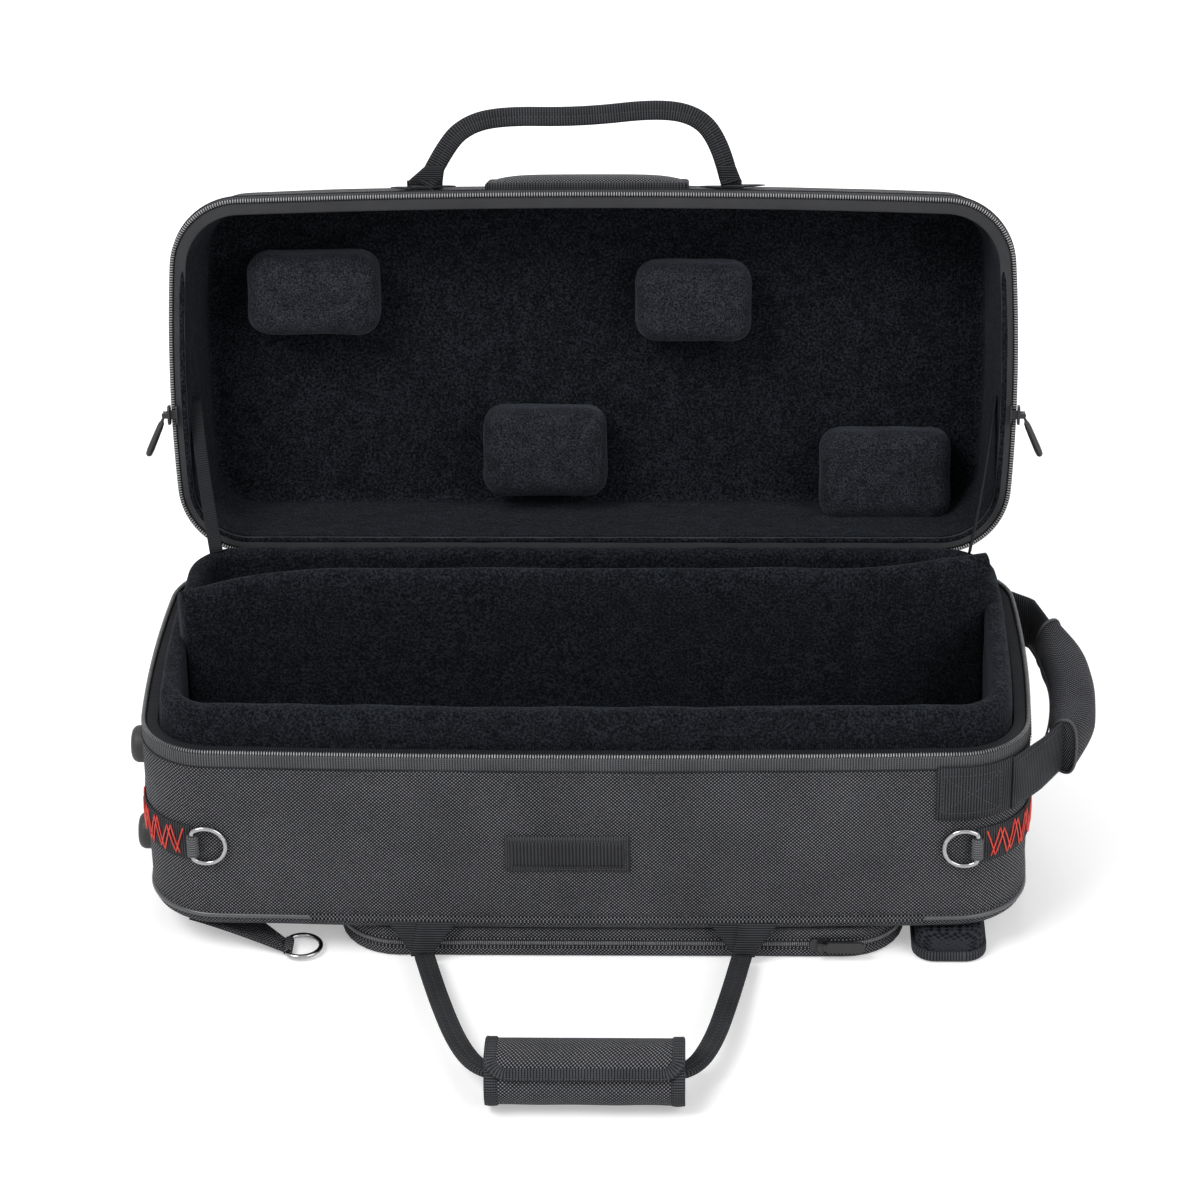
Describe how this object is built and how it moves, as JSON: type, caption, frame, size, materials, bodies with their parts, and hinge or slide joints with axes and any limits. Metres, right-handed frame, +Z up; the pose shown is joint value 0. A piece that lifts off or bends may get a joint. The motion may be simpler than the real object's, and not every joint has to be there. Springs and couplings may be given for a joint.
{
  "type": "trumpet case",
  "caption": "Soft-sided double trumpet case standing open: zipped lid on a fabric hinge, plush bays with a curved divider, padded handles, D-rings and pockets.",
  "frame": {"origin": "on the floor under the middle of the case, in the underside of the pocket it stands on", "axes": "+X to the case's right end, -Y to its front, +Z up"},
  "size_m": [0.6315, 0.5791, 0.4432],
  "materials": {
    "ballistic_nylon": "coarse woven nylon",
    "foam_board": "stiff foam board",
    "plush": "short pile plush",
    "binding_tape": "smooth woven tape",
    "zip_coil": "nylon coil",
    "webbing": "ribbed webbing",
    "mesh_pad": "air mesh with a bound edge",
    "piping_vinyl": "satin piping",
    "hook_tape": "loop tape",
    "foot_rubber": "matte moulded rubber",
    "ring_chrome": "bright plated wire",
    "slider_metal": "black painted die casting",
    "pull_rubber": "soft moulded rubber"
  },
  "bodies": {
    "base": {"base_bottom": "ballistic_nylon", "base_piping": "piping_vinyl", "base_cover": "ballistic_nylon", "base_board": "foam_board", "base_zip_tape": "binding_tape", "base_zip_coil": "zip_coil", "base_rim_binding": "binding_tape", "base_insert": "plush", "bay_divider": "plush", "base_hinge_strip": "ballistic_nylon", "hook_patch": "hook_tape", "base_end_feet": "foot_rubber", "side_handle_tails": "webbing", "front_handle_tabs": "webbing", "bottom_pocket": "ballistic_nylon", "bottom_pocket_zip": "binding_tape", "d_ring_tab_left": "webbing", "d_ring_tab_right": "webbing", "lid_stay_left": "binding_tape", "lid_stay_right": "binding_tape", "shoulder_strap_front": "mesh_pad", "shoulder_strap_rear": "mesh_pad", "strap_wing_front": "ballistic_nylon", "strap_wing_rear": "ballistic_nylon"},
    "lid": {"lid_cover": "ballistic_nylon", "lid_board": "foam_board", "lid_lining": "plush", "lid_zip_tape": "binding_tape", "lid_zip_coil": "zip_coil", "lid_rim_binding": "binding_tape", "lid_hinge_strip": "ballistic_nylon", "lid_pad_1": "plush", "lid_pad_2": "plush", "lid_pad_3": "plush", "lid_pad_4": "plush", "lid_panel": "ballistic_nylon", "lid_handle_tabs": "webbing", "lid_end_feet": "foot_rubber", "roof_pocket": "ballistic_nylon", "roof_pocket_zip": "binding_tape"},
    "lid_handle": {"lid_handle_strap": "webbing"},
    "front_handle": {"front_handle_strap": "webbing", "handle_grip_wrap": "ballistic_nylon"},
    "grip_flap": {"handle_grip_flap": "ballistic_nylon"},
    "side_handle": {"side_handle_strap": "webbing", "side_handle_grip": "ballistic_nylon"},
    "d_ring_left": {"d_ring_left": "ring_chrome"},
    "d_ring_right": {"d_ring_right": "ring_chrome"},
    "strap_ring_front": {"strap_ring_front": "ring_chrome"},
    "strap_ring_rear": {"strap_ring_rear": "ring_chrome"},
    "main_slider_left": {"main_slider_left": "slider_metal"},
    "main_slider_right": {"main_slider_right": "slider_metal"},
    "main_pull_left": {"main_pull_left": "pull_rubber"},
    "main_pull_right": {"main_pull_right": "pull_rubber"},
    "roof_pocket_slider": {"roof_pocket_slider": "slider_metal"},
    "roof_pocket_pull": {"roof_pocket_pull": "pull_rubber"},
    "bottom_pocket_slider": {"bottom_pocket_slider": "slider_metal"},
    "bottom_pocket_pull": {"bottom_pocket_pull": "pull_rubber"}
  },
  "joints": [
    {"name": "lid_hinge", "type": "hinge", "parent": "base", "child": "lid", "pos_m": [0, 0.128, 0.154], "axis": [1, 0, 0], "range_deg": [0, 104], "deforming": ["lid_stay_left", "lid_stay_right"]},
    {"name": "lid_handle_hinge", "type": "hinge", "parent": "lid", "child": "lid_handle", "pos_m": [0, 0.22773, 0.38865], "axis": [-1, 0, 0], "range_deg": [-70, 70]},
    {"name": "front_handle_hinge", "type": "hinge", "parent": "base", "child": "front_handle", "pos_m": [0, -0.132, 0.009], "axis": [-1, 0, 0], "range_deg": [0, 65]},
    {"name": "grip_flap_hinge", "type": "hinge", "parent": "front_handle", "child": "grip_flap", "pos_m": [0, -0.25423, 0.01117], "axis": [-1, 0, 0], "range_deg": [0, 100]},
    {"name": "side_handle_hinge", "type": "hinge", "parent": "base", "child": "side_handle", "pos_m": [0.28901, 0, 0.125], "axis": [0, -1, 0], "range_deg": [-9, 9]},
    {"name": "d_ring_left_hinge", "type": "hinge", "parent": "base", "child": "d_ring_left", "pos_m": [-0.248, -0.12205, 0.085], "axis": [0, 0, -1], "range_deg": [0, 120]},
    {"name": "d_ring_right_hinge", "type": "hinge", "parent": "base", "child": "d_ring_right", "pos_m": [0.248, -0.12205, 0.085], "axis": [0, 0, 1], "range_deg": [0, 120]},
    {"name": "strap_ring_front_hinge", "type": "hinge", "parent": "base", "child": "strap_ring_front", "pos_m": [-0.192, -0.1146, 0.0036], "axis": [0, -1, 0], "range_deg": [0, 45]},
    {"name": "strap_ring_rear_hinge", "type": "hinge", "parent": "base", "child": "strap_ring_rear", "pos_m": [-0.192, 0.1146, 0.0036], "axis": [0, -1, 0], "range_deg": [0, 45]},
    {"name": "main_slider_left_slide", "type": "slide", "parent": "lid", "child": "main_slider_left", "axis": [0.0246, -0.2418, -0.97], "range_m": [-0.02, 0.02]},
    {"name": "main_pull_left_hinge", "type": "hinge", "parent": "main_slider_left", "child": "main_pull_left", "pos_m": [-0.28847, 0.15241, 0.2519], "axis": [0, 0.9703, -0.2419], "range_deg": [-18, 120]},
    {"name": "main_slider_right_slide", "type": "slide", "parent": "lid", "child": "main_slider_right", "axis": [-0.0246, -0.2418, -0.97], "range_m": [-0.02, 0.02]},
    {"name": "main_pull_right_hinge", "type": "hinge", "parent": "main_slider_right", "child": "main_pull_right", "pos_m": [0.28847, 0.15241, 0.2519], "axis": [0, -0.9703, 0.2419], "range_deg": [-18, 120]},
    {"name": "roof_pocket_slider_slide", "type": "slide", "parent": "lid", "child": "roof_pocket_slider", "axis": [-1, 0, 0], "range_m": [-0.028, 0.33]},
    {"name": "roof_pocket_pull_hinge", "type": "hinge", "parent": "roof_pocket_slider", "child": "roof_pocket_pull", "pos_m": [0.15, 0.27629, 0.34778], "axis": [0, 0.9703, -0.2419], "range_deg": [0, 160]},
    {"name": "bottom_pocket_slider_slide", "type": "slide", "parent": "base", "child": "bottom_pocket_slider", "axis": [1, 0, 0], "range_m": [-0.02, 0.008]},
    {"name": "bottom_pocket_pull_hinge", "type": "hinge", "parent": "bottom_pocket_slider", "child": "bottom_pocket_pull", "pos_m": [0.15, -0.1249, 0.011], "axis": [0, 0, -1], "range_deg": [0, 160]}
  ]
}
